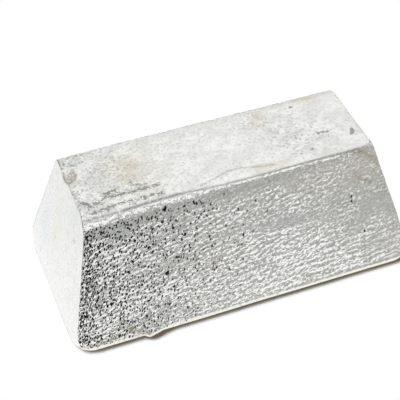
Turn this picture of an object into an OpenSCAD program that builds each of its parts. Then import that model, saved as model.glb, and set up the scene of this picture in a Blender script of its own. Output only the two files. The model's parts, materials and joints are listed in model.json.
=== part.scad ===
// Tin ingot, one solid casting, lying on the face it was poured from.
// Lengths are in millimetres and angles in degrees.
// X runs along the length, Z points up and the long side that faces the viewer is -Y.
// The origin is on the floor in the middle of the pour face.

/* [Pour face] */
// Length of the mould's mouth, now the face on the floor
pour_length = 300; // [240:1:380]
// Width of the mould's mouth
pour_width = 151.3; // [120:0.1:195]
// Rounding of the four corners of the mouth, seen from above
rim_corner_radius = 18; // [8:0.5:30]
// Rounding of the rim, where the melt drew up against the mould
rim_radius = 1.6; // [0.5:0.1:4]

/* [Body] */
// Height from the pour face to the face that lay on the mould's floor
ingot_height = 107.8; // [85:0.1:135]
// Draft of the two long sides, from upright
side_draft = 17.8; // [10:0.1:25]
// Draft of the two ends, from upright
end_draft = 14.3; // [8:0.1:20]
// Rounding of the four standing edges above the rim
standing_edge_radius = 2.6; // [1:0.1:8]
// Height at which the mouth's rounded corners have closed in to the standing edges
corner_blend_height = 14; // [6:0.5:30]

/* [Arrises] */
// Rounding of the near long arris at its left end, where the metal froze before it filled the mould
near_left_radius = 28; // [4:0.5:34]
// Rounding of the near long arris at its right end
near_right_radius = 5.5; // [3:0.5:34]
// Rounding of the far long arris
far_radius = 3.5; // [3:0.5:20]
// Rounding of the arrises across the two ends
end_arris_radius = 1.8; // [0.5:0.1:3]

/* [Rim lip] */
// Distance of the lip's blunt end from the left end of the pour face
lip_from_end = 61.5; // [30:0.5:140]
// Length over which the lip tapers back into the rim
lip_length = 20; // [8:1:40]
// Height at which the lip has died out in the long side
lip_height = 12; // [8:0.5:25]
// How far the blunt end stands out past the rim
lip_reach = 4; // [0:0.5:8]
// Rounding of the blunt end
lip_radius = 3.6; // [2:0.1:6]
// Rounding of the two ends that die out
lip_tail_radius = 2.5; // [1:0.1:5]
// Depth at which those two ends are buried in the body
lip_bury = 0.8; // [0.4:0.1:2]
// Clear height between the lip and the floor
lip_clearance = 0.4; // [0.2:0.1:2]

/* [Edge chip] */
// Distance of the chip from the middle of the left end's top arris, towards the far side
chip_offset = 17; // [-25:1:25]
// Reach of the chip over the top face
chip_reach = 10; // [4:0.5:16]
// Depth of the chip at the arris
chip_depth = 3.2; // [1:0.1:6]

/* [Hidden] */
// Facets of a full circle in the cast body
arc_facets = 32;
half_length = pour_length / 2;
half_width = pour_width / 2;
side_slope = tan(side_draft);
end_slope = tan(end_draft);
// Share of a top ring's radius that reaches the long side's slope
side_share = sqrt(1 - pow(sin(side_draft) * sin(end_draft), 2));
top_half_length = half_length - ingot_height * end_slope;
// The rim's rings lie flat, with their lowest line on the floor
rim_ring_radius = rim_corner_radius - rim_radius;
rim_ring_x = half_length - rim_radius * end_slope - rim_ring_radius - rim_radius / cos(end_draft);
rim_ring_y = half_width - rim_radius * side_slope - rim_ring_radius - rim_radius / cos(side_draft);
edge_ball_x = half_length - corner_blend_height * end_slope - standing_edge_radius / cos(end_draft);
edge_ball_y = half_width - corner_blend_height * side_slope - standing_edge_radius / cos(side_draft);
lip_z = lip_clearance + lip_radius;
lip_tail_z = lip_clearance + lip_tail_radius;
lip_x = lip_from_end - half_length;
lip_y = half_width + lip_reach - lip_radius;
lip_tail_depth = lip_bury + lip_tail_radius / cos(side_draft);
// Share of the lip's length at which its upper end lies
lip_crest_share = 0.35;
// Radius of the ball whose cap is as deep and as wide as the chip
chip_radius = (pow(chip_reach, 2) + pow(chip_depth, 2)) / (2 * chip_depth);
chip_z = ingot_height + chip_radius - chip_depth;

// A rounded ring, flat on the floor; a ring narrower than its own edge closes to a button
module ring(ring_radius, edge_radius) {
    rotate_extrude($fn = arc_facets)
        intersection() {
            translate([ring_radius, 0])
                circle(r = edge_radius, $fn = arc_facets);
            translate([0, -edge_radius])
                square([ring_radius + edge_radius, 2 * edge_radius]);
        }
}

// A ring that lies against the inside of an end face and carries one end of a long arris
// side is -1 for the near long side and 1 for the far one, end is -1 for the left end and 1 for the right
module arris_ring(arris_radius, side, end) {
    ring_radius = arris_radius - end_arris_radius;
    z = ingot_height - ring_radius * cos(end_draft) - end_arris_radius;
    x = half_length - z * end_slope - end_arris_radius / cos(end_draft);
    y = half_width - z * side_slope - (ring_radius * side_share + end_arris_radius) / cos(side_draft);
    translate([end * x, side * y, z])
        rotate([0, end * (90 - end_draft), 0])
            ring(ring_radius, end_arris_radius);
}

// The drafted body with its rim, standing edges and arrises
module cast_body() {
    hull() {
        for (side = [-1, 1], end = [-1, 1]) {
            translate([end * rim_ring_x, side * rim_ring_y, rim_radius])
                ring(rim_ring_radius, rim_radius);
            translate([end * edge_ball_x, side * edge_ball_y, corner_blend_height])
                sphere(r = standing_edge_radius, $fn = arc_facets);
            arris_ring(side > 0 ? far_radius : (end < 0 ? near_left_radius : near_right_radius), side, end);
        }
    }
}

// One of the lip's buried ends, x from the blunt end and z up
module lip_tail(x, z) {
    translate([lip_x + x, lip_tail_depth + z * side_slope - half_width, z])
        sphere(r = lip_tail_radius, $fn = arc_facets);
}

// The tongue of metal that ran over the mould's edge
module rim_lip() {
    hull() {
        translate([lip_x, -lip_y, lip_z])
            sphere(r = lip_radius, $fn = arc_facets);
        lip_tail(lip_length, lip_tail_z);
        lip_tail(lip_length * lip_crest_share, lip_height);
    }
}

// The piece knocked out of the left end's top arris
module edge_chip() {
    translate([-top_half_length, chip_offset, chip_z])
        sphere(r = chip_radius);
}

module tin_ingot() {
    color([0.79, 0.79, 0.77])
        difference() {
            union() {
                cast_body();
                rim_lip();
            }
            edge_chip();
        }
}

tin_ingot();
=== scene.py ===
"""A cast tin ingot lying on its pour face on a white floor, seen from above its near left corner."""
import json
import math

import bpy
import numpy as np
from mathutils import Matrix, Vector
from mathutils.bvhtree import BVHTree

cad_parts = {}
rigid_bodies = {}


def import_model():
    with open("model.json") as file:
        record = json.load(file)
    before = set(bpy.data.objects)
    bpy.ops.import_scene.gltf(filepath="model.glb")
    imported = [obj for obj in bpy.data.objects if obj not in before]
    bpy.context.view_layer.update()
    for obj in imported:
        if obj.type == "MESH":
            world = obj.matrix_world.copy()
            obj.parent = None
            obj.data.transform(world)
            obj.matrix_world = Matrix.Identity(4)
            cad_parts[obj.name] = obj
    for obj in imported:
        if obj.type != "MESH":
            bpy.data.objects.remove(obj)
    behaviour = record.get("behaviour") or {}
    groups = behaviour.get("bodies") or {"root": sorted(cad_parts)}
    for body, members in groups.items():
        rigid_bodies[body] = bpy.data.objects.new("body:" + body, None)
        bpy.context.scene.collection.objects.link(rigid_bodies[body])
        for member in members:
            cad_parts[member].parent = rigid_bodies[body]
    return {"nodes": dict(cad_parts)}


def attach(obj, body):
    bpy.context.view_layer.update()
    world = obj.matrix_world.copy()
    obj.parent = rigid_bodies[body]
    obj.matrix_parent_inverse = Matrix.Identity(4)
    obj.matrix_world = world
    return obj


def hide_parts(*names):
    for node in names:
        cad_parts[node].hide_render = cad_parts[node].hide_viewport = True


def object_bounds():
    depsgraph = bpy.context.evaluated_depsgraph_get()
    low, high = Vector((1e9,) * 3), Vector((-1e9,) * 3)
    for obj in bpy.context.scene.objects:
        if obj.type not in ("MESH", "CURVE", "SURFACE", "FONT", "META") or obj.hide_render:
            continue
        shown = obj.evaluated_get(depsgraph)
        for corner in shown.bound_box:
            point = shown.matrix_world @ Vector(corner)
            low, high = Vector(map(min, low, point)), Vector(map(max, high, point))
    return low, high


for thing in list(bpy.data.objects):
    bpy.data.objects.remove(thing)

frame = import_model()
cad_low, cad_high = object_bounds()
scene = bpy.context.scene
scene.view_settings.view_transform = "Standard"


# The camera stands about a metre from the ingot and looks down on its near side and left end.
# It has a long lens and is held a little off level.
lens_mm = 111.8
sight_reach = 100.0
aim = Vector((-0.0094, 0.0144, 0.045))
camera_distance = 1.0599
azimuth = math.radians(-18.899)
elevation = math.radians(42.654)
roll = math.radians(-2.425)

towards_camera = Vector((
    math.sin(azimuth) * math.cos(elevation),
    -math.cos(azimuth) * math.cos(elevation),
    math.sin(elevation),
))
camera_turn = towards_camera.to_track_quat("Z", "Y").to_matrix() @ Matrix.Rotation(roll, 3, "Z")
camera_data = bpy.data.cameras.new("camera")
camera_data.lens = lens_mm
camera_data.clip_end = sight_reach
camera = bpy.data.objects.new("camera", camera_data)
camera.matrix_world = Matrix.LocRotScale(aim + towards_camera * camera_distance, camera_turn, None)
scene.collection.objects.link(camera)
scene.camera = camera


# The ingot's form: one block of tin cast in an open mould and turned out, so it lies on its pour
# face. All sides are drafted, and the near top edge is round at the left and sharper at the right.
# Its net is lofted from cross-sections, then laid on the CAD solid, which gives the lip and the chip.
solid = frame["nodes"]["tin_ingot"].data
half_length = cad_high.x
half_width = cad_high.y
height = cad_high.z
side_draft = math.radians(17.8)
end_draft = math.radians(14.3)
near_radius_left = 0.028
near_radius_right = 0.0055
far_radius = 0.0035
rim_corner_radius = 0.018
standing_edge_radius = 0.0026
corner_blend_height = 0.014
chip_offset = 0.017
chip_reach = 0.010
chip_depth = 0.0032
columns = 226
side_rows = 128
top_rows = 80
arc_steps = 24


def edge_arc(radius):
    """Half-width and height along a rounded top edge, from the side's face to its middle
    and on to the top."""
    turn = np.linspace(side_draft, math.pi / 2, 2 * arc_steps + 1)
    centre_z = height - radius
    centre_y = half_width - (radius + centre_z * math.sin(side_draft)) / math.cos(side_draft)
    return np.column_stack([centre_y + radius * np.cos(turn), centre_z + radius * np.sin(turn)])


def spaced(line, count):
    """That many even steps along a line of points."""
    run = np.concatenate([[0.0], np.cumsum(np.linalg.norm(np.diff(line, axis=0), axis=1))])
    stops = np.linspace(0.0, run[-1], count + 1)
    return np.column_stack([np.interp(stops, run, line[:, axis]) for axis in range(line.shape[1])])


def section(near_radius):
    """A cross-section from the near rim up over the top to the far rim, as rows of y and z."""
    rim = np.array([[half_width, 0.0]])
    near, far = edge_arc(near_radius), edge_arc(far_radius)
    flip = np.array([-1.0, 1.0])
    near_side = spaced(np.concatenate([rim, near[:arc_steps + 1]]) * flip, side_rows)
    top = spaced(np.concatenate([near[arc_steps:] * flip, far[:arc_steps - 1:-1]]), top_rows)
    far_side = spaced(np.concatenate([far[arc_steps::-1], rim]), side_rows)
    return np.concatenate([near_side, top[1:], far_side[1:]])


along = np.linspace(-1.0, 1.0, columns + 1)
near_radii = np.interp(along, [-1.0, 1.0], [near_radius_left, near_radius_right])
sections = np.array([section(radius) for radius in near_radii])
sleeve_y, sleeve_z = sections[..., 0], sections[..., 1]
sleeve_x = along[:, None] * (half_length - sleeve_z * math.tan(end_draft))
sleeve = np.stack([sleeve_x, sleeve_y, sleeve_z], axis=-1)
profile_rows = sleeve.shape[1]
sleeve_index = np.arange(sleeve[..., 0].size).reshape(sleeve.shape[:2])

# Each end is a net stretched between the near edge, the far edge, the top and the rim of the sleeve.
net_points = [sleeve.reshape(-1, 3)]
end_nets = []
point_count = sleeve_index.size
across = np.linspace(0.0, 1.0, top_rows + 1)[:, None, None]
up = np.linspace(0.0, 1.0, side_rows + 1)[None, :, None]
for column in (0, columns):
    edge = sleeve[column]
    near_edge = edge[:side_rows + 1][None]
    far_edge = edge[::-1][:side_rows + 1][None]
    top_edge = edge[side_rows:side_rows + top_rows + 1][:, None]
    rim_edge = near_edge[:, :1] * (1 - across) + far_edge[:, :1] * across
    corners = (1 - up) * rim_edge + up * (
        near_edge[:, -1:] * (1 - across) + far_edge[:, -1:] * across)
    net = near_edge * (1 - across) + far_edge * across + rim_edge * (1 - up) + top_edge * up - corners
    index = np.empty(net.shape[:2], int)
    index[0] = sleeve_index[column, :side_rows + 1]
    index[-1] = sleeve_index[column, ::-1][:side_rows + 1]
    index[:, -1] = sleeve_index[column, side_rows:side_rows + top_rows + 1]
    inner = net[1:-1, :-1]
    index[1:-1, :-1] = point_count + np.arange(inner[..., 0].size).reshape(inner.shape[:2])
    net_points.append(inner.reshape(-1, 3))
    point_count += inner[..., 0].size
    end_nets.append(index)
left_net, right_net = end_nets
points = np.concatenate(net_points)

# The plan's corners are rounded at the rim, and less so up to the standing edges.
corner_radius = np.interp(
    points[:, 2], [0.0, corner_blend_height], [rim_corner_radius, standing_edge_radius])
reach_x = half_length - points[:, 2] * math.tan(end_draft) - corner_radius
reach_y = half_width - points[:, 2] * math.tan(side_draft) - corner_radius
over_x = np.abs(points[:, 0]) - reach_x
over_y = np.abs(points[:, 1]) - reach_y
far_out = np.hypot(over_x, over_y)
in_corner = (over_x > 0) & (over_y > 0) & (far_out > corner_radius)
pull = np.where(in_corner, corner_radius / np.where(in_corner, far_out, 1.0), 1.0)
points[:, 0] = np.where(in_corner, np.sign(points[:, 0]) * (reach_x + over_x * pull), points[:, 0])
points[:, 1] = np.where(in_corner, np.sign(points[:, 1]) * (reach_y + over_y * pull), points[:, 1])


def quads(index):
    """The faces of a net of point numbers."""
    corners = [index[:-1, :-1], index[1:, :-1], index[1:, 1:], index[:-1, 1:]]
    return np.stack(corners, axis=-1).reshape(-1, 4)


faces = [quads(sleeve_index), quads(left_net[::-1]), quads(right_net)]

# The pour face is closed by two rings inside the rim and one flat face.
rim_loop = np.concatenate([
    sleeve_index[:, 0], right_net[1:-1, 0], sleeve_index[::-1, -1], left_net[-2:0:-1, 0]])
ring_insets = (0.0015, 0.006)
ring = rim_loop
for ring_inset in ring_insets:
    inner_ring = point_count + np.arange(len(rim_loop))
    shrink = np.array([1 - ring_inset / half_length, 1 - ring_inset / half_width, 0.0])
    points = np.concatenate([points, points[rim_loop] * shrink])
    faces.append(np.stack([ring, inner_ring, np.roll(inner_ring, -1), np.roll(ring, -1)], axis=-1))
    ring = inner_ring
    point_count += len(rim_loop)
faces = [face.tolist() for group in faces for face in group] + [ring[::-1].tolist()]

ingot_mesh = bpy.data.meshes.new("tin_ingot_cast")
ingot_mesh.from_pydata(points.tolist(), [], faces)


def skin_normals():
    """The outward direction at each point of the skin."""
    normals = np.empty(len(ingot_mesh.vertices) * 3, np.float32)
    ingot_mesh.vertex_normals.foreach_get("vector", normals)
    return normals.reshape(-1, 3).astype(float)


# Every point goes along its own outward direction to the CAD solid, unless it is already as near
# as the solid's flats are to the true round. Points inside the chip go straight out to its hollow.
feeler = 0.009
flat_error = 0.00016
chip_radius = (chip_reach ** 2 + chip_depth ** 2) / (2 * chip_depth)
chip_centre = np.array([
    height * math.tan(end_draft) - half_length, chip_offset, height + chip_radius - chip_depth])
cad_skin = BVHTree.FromPolygons(
    [vertex.co for vertex in solid.vertices], [face.vertices for face in solid.polygons])
from_chip = points - chip_centre
chip_distance = np.linalg.norm(from_chip, axis=1)
in_chip = chip_distance < chip_radius
outward = skin_normals()
for number in np.flatnonzero(~in_chip):
    point, out = Vector(points[number]), Vector(outward[number])
    hit, _, _, reach = cad_skin.ray_cast(point + out * feeler, -out, 2 * feeler)
    if hit is not None and abs(reach - feeler) > flat_error:
        points[number] = hit
points[in_chip] = chip_centre + from_chip[in_chip] * (chip_radius / chip_distance[in_chip])[:, None]
ingot_mesh.vertices.foreach_set("co", points.ravel())
ingot_mesh.update()


# The skin of the casting. The long sides took the mould wash's ripples, which run along the length
# and rise a little to the right. The left of the near side is pitted, the ends are nearly smooth,
# and the top is flat with a few laps where the metal ran in folds.
crest_height = 0.00050
fine_ripple_height = 0.00010
pit_depth = 0.00030
big_pit_depth = 0.00060
bead_height = 0.00040
rim_bead_height = 0.00015
lap_depth = 0.00012
smear_depth = 0.00020
wave_height = 0.00012
top_pock_height = 0.00002
end_grain_height = 0.00003
end_swell_height = 0.00015
step_x = 2 * half_length / columns
step_up = height / math.cos(side_draft) / side_rows
run = np.concatenate([
    np.zeros((columns + 1, 1)),
    np.cumsum(np.linalg.norm(np.diff(sections, axis=1), axis=2), axis=1),
], axis=1)
above_edge = run - run[:, side_rows][:, None]
above_rim = np.minimum(run, run[:, -1:] - run)
row = np.arange(profile_rows)[None, :]
on_near = (row <= side_rows).astype(float)
on_far = (row >= side_rows + top_rows).astype(float)
on_top = 1 - np.maximum(on_near, on_far)
long_sides = on_near + on_far
end_lean = sleeve_z * math.tan(end_draft)
from_left = sleeve_x + half_length - end_lean
from_right = 2 * half_length - 2 * end_lean - from_left


def fade(value, start, end):
    """0 at start, 1 at end, smooth in between."""
    share = np.clip((value - start) / (end - start), 0.0, 1.0)
    return share * share * (3 - 2 * share)


def cast_grain(seed, shape, steps, length, pitch, tilt, quarter=False):
    """Grain of that length and pitch, rising by tilt along the first axis, with mean 0 and spread 1.
    With quarter, it is moved on by a quarter of a wave."""
    pitch_spread = 0.45
    white = np.random.default_rng(seed).standard_normal(shape)
    wave_x = np.fft.fftfreq(shape[0], steps[0])[:, None]
    wave_up = np.fft.fftfreq(shape[1], steps[1])[None, :]
    lengthwise = wave_x * math.cos(tilt) + wave_up * math.sin(tilt)
    crosswise = wave_up * math.cos(tilt) - wave_x * math.sin(tilt)
    off_pitch = (np.abs(crosswise) * pitch - 1) / pitch_spread
    band = np.exp(-(lengthwise * length) ** 2 - off_pitch ** 2)
    if quarter:
        band = band * -1j * np.sign(crosswise)
    grain = np.fft.ifft2(np.fft.fft2(white) * band).real
    return grain / grain.std()


def sleeve_grain(seed, length, pitch, tilt, quarter=False):
    """Grain over the long sides and the top, with its tilt in degrees."""
    return cast_grain(
        seed, sleeve.shape[:2], (step_x, step_up), length, pitch, math.radians(tilt), quarter)


def sleeve_ripple(seed, length, pitch, tilt):
    """Ripples over the long sides, all about as high, from -1 in the troughs to 1 on the crests."""
    least_height = 0.4
    wave = sleeve_grain(seed, length, pitch, tilt)
    turned = sleeve_grain(seed, length, pitch, tilt, quarter=True)
    return wave / (np.hypot(wave, turned) + least_height)


def blot(x, rise, wide, tall):
    """A soft round spot on the sleeve at x and a height above the near rim."""
    return np.exp(-((sleeve_x - x) / wide) ** 2 - ((run - rise) / tall) ** 2)


def top_blot(x, past_edge, wide, deep):
    """A soft round spot on the top at x and a distance past the near edge."""
    return np.exp(-((sleeve_x - x) / wide) ** 2 - ((above_edge - past_edge) / deep) ** 2)


def spots(shape, rows):
    """One mask of several soft spots. A row is a weight, then a place and two half-widths."""
    return sum(weight * shape(*place) for weight, *place in rows)


def from_line(line):
    """Distance from a line of points on the sleeve, each at x and past the near edge."""
    nearest = np.full(sleeve_x.shape, 1.0)
    for (x0, e0), (x1, e1) in zip(line, line[1:]):
        reach_x, reach_e = x1 - x0, e1 - e0
        share = ((sleeve_x - x0) * reach_x + (above_edge - e0) * reach_e) / (reach_x ** 2 + reach_e ** 2)
        share = np.clip(share, 0.0, 1.0)
        gap = np.hypot(sleeve_x - x0 - share * reach_x, above_edge - e0 - share * reach_e)
        nearest = np.minimum(nearest, gap)
    return nearest


def drawn_lines(lines):
    """One mask along several lines. A line has a weight, a half-width and points."""
    drawn = sum(weight * np.exp(-(from_line(line) / wide) ** 2) for weight, wide, line in lines)
    return np.clip(drawn, 0.0, 1.0)


short_ripple = sleeve_ripple(1, 0.010, 0.0044, 13)
long_ripple = sleeve_ripple(8, 0.022, 0.0048, 5)
fine_ripple = sleeve_grain(2, 0.006, 0.0028, 16)
patches = sleeve_grain(3, 0.030, 0.040, 0)
pocks = sleeve_grain(4, 0.0022, 0.0026, 60)
waves = sleeve_grain(5, 0.080, 0.060, 0)

# The ripples begin above the rim, are longer low on the side and to the right, and are strongest at
# the left and below a fold. Each pair is where a change begins and where it is complete.
rim_band = (0.0020, 0.0070)
edge_band = (0.016, 0.007)
low_band = (0.060, 0.025)
long_band = (0.060, 0.020)
long_to_right = (0.0, 0.090)
fold_band = (0.0610, 0.0580)
fold_foot = (0.030, 0.050)
fold_left = (-0.030, 0.010)
fold_right = (0.100, 0.065)
worn_left = np.interp(along, [-1.0, 0.2, 0.8], [1.0, 0.9, 0.0])[:, None]
smooth_patches = spots(blot, (
    (1.0, -0.095, 0.097, 0.012, 0.008),
    (0.8, 0.0400, 0.066, 0.020, 0.0045),
))
side = long_sides * fade(above_rim, *rim_band)
side *= 1 - 0.7 * on_near * worn_left * fade(-above_edge, *edge_band)
side *= 1 - 0.7 * on_near * smooth_patches
drawn_out = fade(above_rim, *long_band) * (0.45 + 0.5 * fade(sleeve_x, *long_to_right))
ripple = short_ripple * (1 - drawn_out) + long_ripple * drawn_out
below_fold = fade(above_rim, *fold_band) * fade(above_rim, *fold_foot)
below_fold = below_fold * fade(sleeve_x, *fold_left) * fade(sleeve_x, *fold_right)
fold = blot(0.039, 0.0595, 0.032, 0.0011)
strength = 0.72 + 0.12 * patches + 0.25 * fade(above_rim, *low_band) + 0.25 * below_fold
strength = side * np.clip(strength, 0.45, 1.1)
strength *= np.interp(along, [-1.0, -0.2, 0.4, 1.0], [1.2, 1.1, 0.9, 0.52])[:, None]
crest = np.maximum(strength * (0.5 + 0.5 * ripple) ** 1.5, fold)

# The pits crowd at the left end of the near side and thin out to the right.
pit_places = [0.0, 0.004, 0.009, 0.020, 0.030, 0.050, 0.080, 0.115, 0.160]
pit_shares = [1.00, 1.00, 0.86, 0.60, 0.52, 0.45, 0.25, 0.07, 0.0]
pit_rim_band = (0.0020, 0.0060)
pit_edge_band = (0.0040, 0.0065)
pitted = np.interp(from_left, pit_places, pit_shares)
pitted *= on_near * fade(above_rim, *pit_rim_band) * fade(-above_edge, *pit_edge_band)
pit = pitted * np.clip(pocks - 0.5, 0.0, None)

# A few bigger pits, each at x and a height above the near rim.
big_pit_size = (0.0009, 0.0016)
big_pits = (
    (-0.0570, 0.1067), (-0.0583, 0.1050), (-0.0697, 0.1014), (-0.0487, 0.0764), (-0.0434, 0.0695),
    (-0.0544, 0.0885), (-0.0341, 0.1052), (-0.0319, 0.1034), (-0.0257, 0.0722), (-0.0249, 0.0635),
    (-0.0656, 0.0503), (-0.0642, 0.0520), (-0.0864, 0.0866), (-0.0764, 0.0771), (-0.0614, 0.0963),
    (0.0011, 0.0889), (0.0024, 0.0654), (0.0993, 0.0720), (0.0990, 0.0676), (0.1082, 0.0369))
hole = sum(blot(*place, *big_pit_size) for place in big_pits)

# A bead runs along the near edge, wide at the left and thin at the right. Its white in the finish is a
# painted highlight.
bead_end = (0.112, 0.085)
bead_line = np.interp(
    sleeve_x, [-0.1216, -0.1049, -0.0840, -0.0555, -0.0229, 0.0109, 0.0587, 0.1022],
    [-0.0034, -0.0018, -0.0008, -0.0004, -0.0006, -0.0014, -0.0014, -0.0026])
bead_width = np.interp(
    sleeve_x, [-0.120, -0.080, -0.040, -0.010, 0.060], [0.0034, 0.0030, 0.0027, 0.0013, 0.0009])
bead = np.exp(-((above_edge - bead_line) / bead_width) ** 2) * fade(sleeve_x, *bead_end)
bead *= np.interp(sleeve_x, [-0.115, -0.100, -0.085, -0.030, 0.010], [0.98, 0.84, 0.72, 0.74, 1.0])
rim_bead_rise = 0.0022
rim_bead_width = 0.0020
rim_bead = long_sides * np.exp(-((above_rim - rim_bead_rise) / rim_bead_width) ** 2)

# Small dents on the top, each at x, past the near edge and with a half-width.
dents = (
    (0.1145, 0.0220, 0.0034), (0.1130, 0.0180, 0.0020), (0.0918, 0.0289, 0.0026),
    (0.0955, 0.0275, 0.0020), (0.0870, 0.0280, 0.0019), (0.0745, 0.0119, 0.0022),
    (0.0637, 0.0099, 0.0018), (0.0799, 0.0687, 0.0026))
dent = sum(top_blot(x, past_edge, size, size) for x, past_edge, size in dents)

# Laps lie on the top at the left, and seams along the near edge.
lap = drawn_lines((
    (0.88, 0.0026, (
        (-0.0994, 0.0185), (-0.0897, 0.0185), (-0.0778, 0.0176), (-0.0670, 0.0176), (-0.0562, 0.0186))),
    (0.76, 0.0022, (
        (-0.0983, 0.0234), (-0.0897, 0.0244), (-0.0864, 0.0254))),
    (0.84, 0.0024, (
        (-0.0756, 0.0283), (-0.0735, 0.0244), (-0.0659, 0.0225))),
    (0.80, 0.0023, (
        (-0.0757, 0.0088), (-0.0682, 0.0078), (-0.0627, 0.0088), (-0.0552, 0.0078))),
    (0.80, 0.0023, (
        (-0.1139, 0.0068), (-0.1029, 0.0078), (-0.0931, 0.0088), (-0.0866, 0.0088), (-0.0791, 0.0068))),
    (0.88, 0.0026, (
        (-0.1177, 0.0185), (-0.1156, 0.0165), (-0.1124, 0.0136), (-0.1080, 0.0156), (-0.1048, 0.0156))),
))
seam = drawn_lines((
    (0.75, 0.0010, (
        (-0.1221, 0.0024), (-0.1046, 0.0022), (-0.0883, 0.0022))),
    (1.00, 0.0012, (
        (-0.0883, 0.0022), (-0.0706, 0.0029), (-0.0402, 0.0029))),
    (0.90, 0.0007, (
        (-0.0402, 0.0029), (-0.0185, 0.0012), (0.0109, 0.0004), (0.0586, 0.0002), (0.0847, -0.0005),
        (0.1106, -0.0009))),
    (0.58, 0.0008, (
        (-0.0249, 0.0049), (-0.0162, 0.0069), (-0.0086, 0.0089), (0.0000, 0.0118), (0.0119, 0.0118),
        (0.0259, 0.0079), (0.0389, 0.0059))),
))

# A soft fold and a dirty corner lie at the upper right of the near side, below the edge.
corner_marks = drawn_lines((
    (0.70, 0.0013, (
        (0.1035, -0.0202), (0.1067, -0.0246), (0.1096, -0.0281), (0.1136, -0.0308), (0.1199, -0.0334))),
    (0.60, 0.0020, (
        (0.1050, -0.0012), (0.1111, -0.0035), (0.1160, -0.0062), (0.1201, -0.0097), (0.1234, -0.0141),
        (0.1242, -0.0176))),
))

sleeve_relief = (
    crest_height * crest
    + fine_ripple_height * side * fine_ripple
    - pit_depth * pit
    - big_pit_depth * hole
    + bead_height * bead * (1 + 0.4 * fine_ripple)
    + rim_bead_height * rim_bead
    - lap_depth * np.maximum(lap, seam)
    - smear_depth * dent
    + wave_height * waves
    + top_pock_height * on_top * pocks
)

# Masks tell the finish where crests, pits, laps, stains and dirt are, and where painted highlights and
# shade lie.
crest_right = (-0.040, 0.040)
crest_left = (-0.060, -0.110)
rim_ends = (-0.060, 0.060)
rim_widths = (0.0066, 0.0048)
rim_full = 0.0026
cool_bead = (0.0, -0.030)
left_arris_width = 0.0014
right_arris_width = 0.0012
left_speck_reach = 0.045
left_arris = on_top * np.exp(-(from_left / left_arris_width) ** 2)
right_arris = on_top * np.exp(-(from_right / right_arris_width) ** 2)
crest_share = 0.58 + 0.35 * drawn_out * fade(sleeve_x, *crest_right) + 0.30 * fade(sleeve_x, *crest_left)
sleeve_masks = {
    "side": long_sides,
    "crest": crest * crest_share,
    "strength": strength,
    "pitted": pitted,
    "hole": hole,
    # The rim mask is a painted highlight along the rounded foot of the long sides.
    "rim": long_sides * fade(above_rim, np.interp(sleeve_x, rim_ends, rim_widths), rim_full),
    "bead": bead,
    "lap": lap,
    "seam": seam,
    "yellow": spots(top_blot, (
        (0.42, -0.070, 0.040, 0.018, 0.024),
        (1.3, 0.093, 0.076, 0.008, 0.004),
        (0.6, 0.0505, 0.069, 0.005, 0.006),
        (0.4, 0.034, 0.006, 0.014, 0.004),
    )),
    "pink": spots(top_blot, (
        (0.7, 0.041, 0.059, 0.004, 0.006),
        (0.5, 0.050, 0.063, 0.005, 0.010),
        (0.4, 0.034, 0.006, 0.012, 0.004),
    )),
    "warm": spots(blot, (
        (0.8, 0.085, 0.095, 0.035, 0.016),
        (1.0, -0.102, 0.010, 0.008, 0.006),
        (0.8, 0.133, 0.018, 0.008, 0.012),
        (0.6, -0.024, 0.052, 0.012, 0.007),
        (0.8, 0.118, 0.103, 0.006, 0.008),
    )),
    "cool": smooth_patches + bead * fade(sleeve_x, *cool_bead) + spots(blot, (
        (0.7, 0.019, 0.066, 0.009, 0.007),
        (0.6, 0.024, 0.038, 0.009, 0.008),
    )),
    "dirt": corner_marks + spots(blot, (
        (1.0, -0.1015, 0.0104, 0.0062, 0.0032),
        (0.6, -0.118, 0.0075, 0.006, 0.002),
        (0.5, -0.096, 0.004, 0.006, 0.002),
    )),
    "specks": on_top * (0.10 + 0.70 * np.exp(-from_left / left_speck_reach)) + spots(top_blot, (
        (1.0, -0.115, 0.074, 0.010, 0.009),
        (0.4, -0.076, 0.046, 0.016, 0.018),
        (0.6, 0.046, 0.064, 0.012, 0.012),
        (0.4, 0.070, 0.030, 0.030, 0.022),
    )),
    "smear": dent + 0.7 * left_arris + 0.6 * right_arris + spots(top_blot, (
        (0.45, 0.062, 0.029, 0.012, 0.008),
        (0.4, 0.038, 0.072, 0.004, 0.006),
        (0.5, 0.054, 0.068, 0.0025, 0.004),
        (0.6, 0.098, 0.0775, 0.006, 0.0014),
        (0.6, 0.119, 0.002, 0.004, 0.003),
        (0.5, -0.116, 0.076, 0.009, 0.008),
        (0.5, 0.1175, 0.0760, 0.003, 0.002),
    )),
}
masks = {}
for name, mask in sleeve_masks.items():
    masks[name] = np.zeros(len(points))
    masks[name][sleeve_index] = np.clip(mask, 0.0, 1.0)
chip_far_band = (chip_offset + 0.0062, chip_offset + 0.0035)
masks["chip"] = in_chip * fade(points[:, 1], *chip_far_band)

# The ends have a faint upright grain and a slow swell. Their pale tint is painted light, strongest at
# the foot.
end_shape = (top_rows + 1, side_rows + 1)
end_steps = (2 * half_width / top_rows, step_up)
end_grain_size = (0.004, 0.030)
end_swell_size = (0.060, 0.050)
end_light_shares = (1.0, 0.12)
relief = np.zeros(len(points))
relief[sleeve_index] = sleeve_relief
masks["end"] = np.zeros(len(points))
for grain_seed, swell_seed, net in ((6, 10, left_net), (7, 11, right_net)):
    inside = net[1:-1, :-1]
    upright = cast_grain(grain_seed, end_shape, end_steps, *end_grain_size, math.radians(90))
    swell = cast_grain(swell_seed, end_shape, end_steps, *end_swell_size, 0.0)
    relief[inside] = (end_grain_height * upright + end_swell_height * swell)[1:-1, :-1]
    masks["end"][inside] = np.interp(points[inside, 2], [0.0, height], end_light_shares)
inside_left = left_net[1:-1, :-1]


def end_blot(y, z, wide, tall):
    """A soft round spot on the left end at y and z."""
    across_end, up_end = points[inside_left, 1], points[inside_left, 2]
    return np.exp(-((across_end - y) / wide) ** 2 - ((up_end - z) / tall) ** 2)


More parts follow.
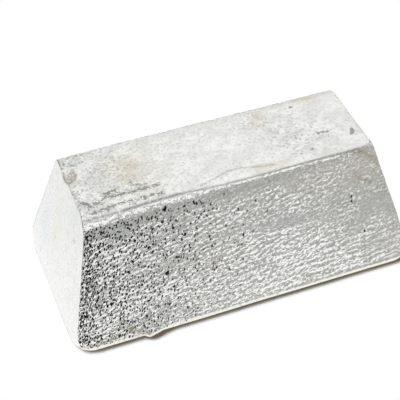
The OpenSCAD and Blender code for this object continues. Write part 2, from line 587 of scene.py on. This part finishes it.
masks["cool"][inside_left] = spots(end_blot, (
    (1.0, 0.040, 0.040, 0.012, 0.016),
    (0.5, -0.018, 0.095, 0.010, 0.016),
))
masks["warm"][inside_left] = spots(end_blot, ((0.8, 0.014, 0.062, 0.010, 0.024),))
masks["smear"][inside_left] = spots(end_blot, (
    (0.55, -0.026, 0.080, 0.008, 0.008),
    (0.45, 0.040, 0.072, 0.010, 0.020),
))
# The left end's far edge and foot get painted shade lines through the seam mask.
far_outline_shade_share = 0.35
foot_shade_shares = (0.75, 0.60, 0.40, 0.15)
masks["seam"][left_net[-2:]] = far_outline_shade_share
masks["seam"][left_net[2:-2, :len(foot_shade_shares)]] = foot_shade_shares
points += skin_normals() * relief[:, None]

# The far edge is worn lower towards the right.
far_wear_places = (-0.060, 0.120)
far_wear_depths = (0.0, 0.0018)
far_wear_reach = 0.0050
wear_way = math.radians(45) + side_draft / 2
far_edge_y, far_edge_z = sections[0, side_rows + top_rows]
from_far_edge = np.hypot(points[:, 1] - far_edge_y, points[:, 2] - far_edge_z)
far_wear = np.interp(points[:, 0], far_wear_places, far_wear_depths)
far_wear *= np.exp(-(from_far_edge / far_wear_reach) ** 2)
points[:, 1] -= far_wear * math.cos(wear_way)
points[:, 2] -= far_wear * math.sin(wear_way)
points[:, 2] = np.maximum(points[:, 2], 0.0)
ingot_mesh.vertices.foreach_set("co", points.ravel())
for name, mask in masks.items():
    ingot_mesh.attributes.new(name, "FLOAT", "POINT").data.foreach_set("value", mask.astype(np.float32))
ingot_mesh.polygons.foreach_set("use_smooth", np.ones(len(ingot_mesh.polygons), bool))
ingot_mesh.update()

ingot = bpy.data.objects.new("tin_ingot_cast", ingot_mesh)
scene.collection.objects.link(ingot)
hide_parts("tin_ingot")
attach(ingot, "root")


# The finish: bare cast tin, cleaner on top. The rippled sides are painted darker grey as shade and the
# ends paler as painted light.
# Crests, the near edge and the rim carry painted highlights, the pits are painted black as shade, laps
# hold dark oxide, and a few stains lie on the top.
tin_colour = (0.885, 0.89, 0.865, 1.0)
tin_shade = (0.64, 0.645, 0.625, 1.0)
warm_shade = (0.70, 0.685, 0.665, 1.0)
side_shade_grey = (0.45, 0.452, 0.424, 1.0)
trough_shade_grey = (0.20, 0.20, 0.19, 1.0)
cool_tin = (0.43, 0.452, 0.45, 1.0)
warm_tin = (0.50, 0.47, 0.42, 1.0)
end_light_pale = (0.985, 0.99, 0.98, 1.0)
end_blue = (0.84, 0.865, 0.895, 1.0)
end_yellow = (0.90, 0.88, 0.80, 1.0)
speck_grey = (0.36, 0.36, 0.345, 1.0)
crest_highlight_white = (0.99, 0.99, 0.97, 1.0)
edge_highlight_white = (0.98, 0.98, 0.965, 1.0)
pit_shade_black = (0.012, 0.012, 0.012, 1.0)
lap_grey = (0.29, 0.285, 0.27, 1.0)
seam_and_outline_shade_grey = (0.225, 0.224, 0.215, 1.0)
rim_highlight_beige = (0.94, 0.92, 0.86, 1.0)
stain_yellow = (0.68, 0.61, 0.43, 1.0)
stain_pink = (0.70, 0.60, 0.53, 1.0)
chip_beige = (0.50, 0.465, 0.40, 1.0)
dirt_brown = (0.28, 0.25, 0.17, 1.0)
top_roughness = 0.42
side_roughness = 0.20

tin = bpy.data.materials.new("cast_tin")
tin.use_nodes = True
tree = tin.node_tree
shader = tree.nodes["Principled BSDF"]
shader.inputs["Metallic"].default_value = 1.0


def add_node(kind, inputs=None, **settings):
    """A node of the material at hand, with its settings and its inputs set or linked."""
    made = tree.nodes.new(kind)
    for name, value in settings.items():
        setattr(made, name, value)
    for name, value in (inputs or {}).items():
        if isinstance(value, bpy.types.NodeSocket):
            tree.links.new(value, made.inputs[name])
        else:
            made.inputs[name].default_value = value
    return made


def skin_mask(name):
    """A mask that the skin carries."""
    return add_node("ShaderNodeAttribute", attribute_name=name).outputs["Fac"]


def worked(operation, first, second):
    """Two values worked together."""
    return add_node("ShaderNodeMath", {0: first, 1: second}, operation=operation).outputs[0]


def plus(first, second):
    """Two values added up."""
    return worked("ADD", first, second)


def times(mask, share):
    """A mask made weaker, or cut by another mask."""
    return worked("MULTIPLY", mask, share)


def most(first, second):
    """The stronger of two masks."""
    return worked("MAXIMUM", first, second)


def between(value, low, high):
    """0 where the value is low, 1 where it is high."""
    ramp = add_node("ShaderNodeMapRange", {
        "Value": value, "From Min": low, "From Max": high}, interpolation_type="SMOOTHSTEP")
    return ramp.outputs["Result"]


def tinted(colour, tint, mask):
    """The colour, going over to the tint where the mask is 1."""
    mix = add_node("ShaderNodeMix", {0: mask, 6: colour, 7: tint}, data_type="RGBA")
    return mix.outputs[2]


def drawn(length, rise):
    """The place on the ingot, drawn out to that length along a line that rises to the right by
    so many degrees."""
    laid = add_node("ShaderNodeMapping", {
        "Vector": place, "Rotation": (0.0, math.radians(-rise), 0.0), "Scale": (length, 1.0, 1.0),
    }, vector_type="TEXTURE")
    return laid.outputs[0]


def grain(to_metre, detail, length=1.0, rise=0.0, distortion=0.0):
    """Noise of so many grains to the metre, drawn out along a line."""
    noise = add_node("ShaderNodeTexNoise", {
        "Vector": drawn(length, rise), "Scale": to_metre, "Detail": detail, "Distortion": distortion})
    return noise.outputs["Fac"]


def off_middle(noise, share):
    """How far the noise is off its middle, times a share."""
    return times(worked("SUBTRACT", noise, 0.5), share)


def broken(mask, noise, share):
    """A mask with ragged edges and gaps, as the noise eats into it."""
    return between(plus(mask, off_middle(noise, share)), 0.45, 0.85)


place = add_node("ShaderNodeTexCoord").outputs["Object"]
side_mask = skin_mask("side")
end_mask = skin_mask("end")
speck_mask = skin_mask("specks")
on_end = worked("GREATER_THAN", end_mask, 0.01)
speckle = grain(900.0, 2.0)
blotch = grain(420.0, 3.0)
mottle = grain(45.0, 3.0)
marbling = grain(120.0, 3.0, length=1.3, rise=20.0, distortion=0.6)
streak = grain(620.0, 2.0, length=2.6, rise=4.0)
ragged = times(plus(streak, speckle), 0.5)
end_grain = between(grain(330.0, 4.0, length=2.6, rise=90.0), 0.5, 0.9)
end_blotch = times(between(blotch, 0.42, 0.72), 0.50)

# Bright strokes on the crests of the wash are painted highlights, and the grey in its troughs is painted
# shade.
crest_lift = 0.40
pitted_drop = -0.03
side_grain = grain(1000.0, 2.0, length=2.7, rise=15.0, distortion=0.4)
wash = plus(side_grain, times(skin_mask("crest"), crest_lift))
wash = plus(wash, times(skin_mask("pitted"), pitted_drop))
stroke = times(between(wash, 0.585, 0.612), between(skin_mask("strength"), 0.0, 0.85))
trough = times(between(wash, 0.48, 0.36), skin_mask("strength"))

# Each pit is a ragged spot that leans to the right, painted black as shade in its hollow, and more of
# them are kept further left.
pits_to_metre = 840.0
pit_length = 2.6
pit_lean = 65.0
pit_size_spread = 0.24
pit_raggedness = 0.7
pores = add_node("ShaderNodeTexVoronoi", {"Vector": drawn(pit_length, pit_lean), "Scale": pits_to_metre})
lot = add_node("ShaderNodeSeparateColor", {"Color": pores.outputs["Color"]})
pit_reach = plus(pores.outputs["Distance"], times(lot.outputs["Green"], pit_size_spread))
pit_reach = plus(pit_reach, off_middle(speckle, pit_raggedness))
kept_pits = worked("LESS_THAN", lot.outputs["Red"], skin_mask("pitted"))
pit_mask = times(between(pit_reach, 0.605, 0.55), kept_pits)
pit_mask = most(pit_mask, between(skin_mask("hole"), 0.38, 0.63))

# The layers of colour, from the bare metal up. Each is a tint and where it lies.
layers = (
    (tin_shade, between(blotch, 0.45, 0.90)),
    (tin_shade, times(between(marbling, 0.42, 0.70), 0.42)),
    (warm_shade, times(between(mottle, 0.48, 0.72), 0.45)),
    (tin_shade, times(speck_mask, between(marbling, 0.30, 0.60))),
    (speck_grey, times(speck_mask, between(blotch, 0.47, 0.66))),
    # The long sides are painted darker grey as shade; the cool and warm tints after it keep that
    # darkness.
    (side_shade_grey, side_mask),
    (cool_tin, times(skin_mask("cool"), 0.7)),
    (warm_tin, times(skin_mask("warm"), 0.8)),
    (trough_shade_grey, times(trough, 0.7)),
    # The ends are painted paler as light, most at the foot.
    (end_light_pale, end_mask),
    (end_blue, times(on_end, skin_mask("cool"))),
    (end_yellow, times(on_end, skin_mask("warm"))),
    (tin_shade, most(times(on_end, end_grain), times(on_end, end_blotch))),
    (crest_highlight_white, stroke),
    (edge_highlight_white, broken(skin_mask("bead"), ragged, 6.0)),
    # The cream band at the rim is a painted highlight.
    (rim_highlight_beige, broken(skin_mask("rim"), side_grain, 1.2)),
    (dirt_brown, times(skin_mask("dirt"), between(blotch, 0.36, 0.52))),
    (stain_yellow, times(skin_mask("yellow"), between(mottle, 0.2, 0.6))),
    (stain_pink, times(skin_mask("pink"), between(blotch, 0.3, 0.6))),
    (chip_beige, times(skin_mask("chip"), between(blotch, 0.25, 0.6))),
    (lap_grey, broken(skin_mask("lap"), ragged, 4.6)),
    # The seam mask holds seams on the sleeve and painted shade lines at the left end's edges.
    (seam_and_outline_shade_grey, times(skin_mask("seam"), between(ragged, 0.34, 0.51))),
    (speck_grey, broken(skin_mask("smear"), blotch, 1.2)),
    # The pits' black is painted shade.
    (pit_shade_black, pit_mask),
)
colour = tin_colour
for tint, mask in layers:
    colour = tinted(colour, tint, mask)
tree.links.new(colour, shader.inputs["Base Color"])

roughness = add_node("ShaderNodeMapRange", {
    "Value": most(side_mask, on_end), "To Min": top_roughness, "To Max": side_roughness})
tree.links.new(roughness.outputs["Result"], shader.inputs["Roughness"])

# The fine grain that the net is too coarse for is a bump.
bump_strength = 0.8
bump_depth = 0.0007
grain_rise = times(times(side_grain, side_mask), 0.6)
grain_rise = plus(grain_rise, times(stroke, 0.4))
grain_rise = worked("SUBTRACT", grain_rise, pit_mask)
grain_rise = plus(grain_rise, times(speckle, 0.25))
bump = add_node("ShaderNodeBump", {
    "Height": grain_rise, "Strength": bump_strength, "Distance": bump_depth})
tree.links.new(bump.outputs["Normal"], shader.inputs["Normal"])
ingot_mesh.materials.append(tin)


# The floor is a white sheet that runs on past the picture, with the ingot's shadow where it touches.
# The shadow lies in front, away from the light at the back left.
floor_size = 20.0
floor_white = (0.95, 0.95, 0.95, 1.0)
contact_brown = (0.13, 0.115, 0.08, 1.0)
clear_white = (1.0, 1.0, 1.0, 1.0)
contact_reach = 0.008
contact_cut = (0.55, 0.78)
lit_from = (-0.62, 0.70, 0.35)
floor_mesh = bpy.data.meshes.new("floor")
half_floor = floor_size / 2
floor_mesh.from_pydata(
    [(-half_floor, -half_floor, 0), (half_floor, -half_floor, 0),
     (half_floor, half_floor, 0), (-half_floor, half_floor, 0)], [], [(0, 1, 2, 3)])
floor = bpy.data.objects.new("floor", floor_mesh)
scene.collection.objects.link(floor)

sheet = bpy.data.materials.new("white_sheet")
sheet.use_nodes = True
tree = sheet.node_tree
tree.nodes.clear()
paper = add_node("ShaderNodeBsdfDiffuse", {"Color": floor_white})
light_way = add_node("ShaderNodeCombineXYZ", dict(zip("XYZ", lit_from)))
gap = add_node("ShaderNodeAmbientOcclusion", {
    "Distance": contact_reach, "Normal": light_way.outputs[0]}, samples=16)
shade = tinted(contact_brown, clear_white, between(gap.outputs["AO"], *contact_cut))
light_path = add_node("ShaderNodeLightPath")
shade = tinted(clear_white, shade, light_path.outputs["Is Camera Ray"])
glow = add_node("ShaderNodeEmission", {"Color": shade, "Strength": 1.0})
seen = most(light_path.outputs["Is Camera Ray"], light_path.outputs["Is Glossy Ray"])
seen = most(seen, light_path.outputs["Is Transmission Ray"])
white = add_node("ShaderNodeMixShader", {0: seen, 1: paper.outputs[0], 2: glow.outputs[0]})
add_node("ShaderNodeOutputMaterial", {"Surface": white.outputs[0]})
floor_mesh.materials.append(sheet)


# The light: a grey room with a wide light panel overhead, which reaches from over the front of the
# ingot far to the back.
room_grey = (0.78, 0.78, 0.78, 1.0)
panel_place = (0.15, 0.70, 1.20)
panel_size = (2.4, 3.3)
panel_brightness = 0.30
world = bpy.data.worlds.new("room")
scene.world = world
world.use_nodes = True
world.node_tree.nodes["Background"].inputs["Color"].default_value = room_grey
panel_light = bpy.data.lights.new("light_panel", "AREA")
panel_light.shape = "RECTANGLE"
panel_light.size, panel_light.size_y = panel_size
panel_light.energy = panel_brightness * math.pi * panel_size[0] * panel_size[1]
panel = bpy.data.objects.new("light_panel", panel_light)
panel.location = panel_place
scene.collection.objects.link(panel)
